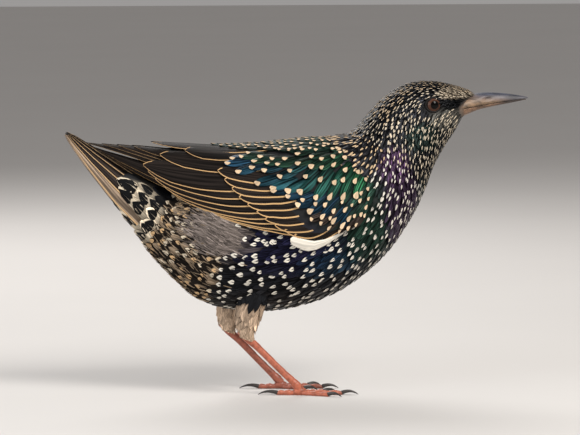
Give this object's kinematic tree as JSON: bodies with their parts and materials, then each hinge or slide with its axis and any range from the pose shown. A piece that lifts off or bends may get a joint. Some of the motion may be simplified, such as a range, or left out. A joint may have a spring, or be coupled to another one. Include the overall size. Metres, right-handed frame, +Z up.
{
  "type": "still model of a starling",
  "caption": "Life-size still model of a starling in winter plumage, standing on both feet with its wings folded and its tail raised.",
  "frame": {"origin": "on the floor, at the middle of the model's length and width", "axes": "+X towards the tip of the bill, +Y towards the bird's left, +Z up"},
  "size_m": [0.1902, 0.059, 0.127],
  "materials": {
    "plumage": "glossy near-black feathers with green, blue and purple sheen and pale spots",
    "flight_feathers": "dark brown flight feathers with buff edges",
    "bill": "smooth horn, grey above and pinkish brown below",
    "eye": "wet, dark brown",
    "leg": "scaled reddish-brown skin",
    "claw": "smooth dark horn"
  },
  "bodies": {
    "root": {"torso": "plumage", "neck": "plumage", "head": "plumage", "thigh_right": "plumage", "thigh_left": "plumage", "wing_right": "flight_feathers", "wing_left": "flight_feathers", "tail": "flight_feathers", "bill_upper": "bill", "bill_lower": "bill", "eye_right": "eye", "eye_left": "eye", "shank_right": "leg", "shank_left": "leg", "foot_right": "leg", "foot_left": "leg", "claw_right_middle": "claw", "claw_right_inner": "claw", "claw_right_outer": "claw", "claw_right_hind": "claw", "claw_left_middle": "claw", "claw_left_inner": "claw", "claw_left_outer": "claw", "claw_left_hind": "claw"}
  },
  "joints": []
}
